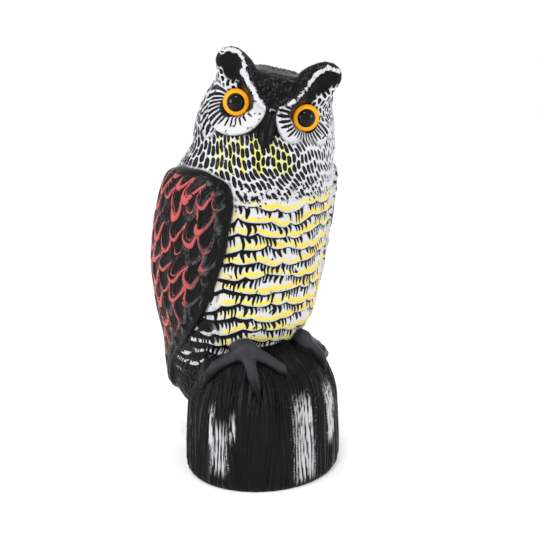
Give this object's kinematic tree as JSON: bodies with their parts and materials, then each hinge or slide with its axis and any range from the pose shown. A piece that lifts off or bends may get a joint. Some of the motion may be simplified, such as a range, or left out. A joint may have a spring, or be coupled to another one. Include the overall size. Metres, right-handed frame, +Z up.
{
  "type": "owl decoy",
  "caption": "Hollow-moulded plastic owl decoy: a great horned owl on a bark stump, head turned to its right, dry-brushed paint, press-in amber eyes.",
  "frame": {"origin": "centre of the stump's flat underside", "axes": "+Z up, -Y the way the bird's breast faces, +X the bird's left side"},
  "size_m": [0.1772, 0.1863, 0.405],
  "materials": {
    "painted_plastic": "soft sheen black polyethylene, dry-brushed white, yellow and coral red",
    "eye_plastic": "glossy, amber ring with a black pupil"
  },
  "bodies": {
    "root": {"owl": "painted_plastic", "right_eye": "eye_plastic", "left_eye": "eye_plastic"}
  },
  "joints": []
}
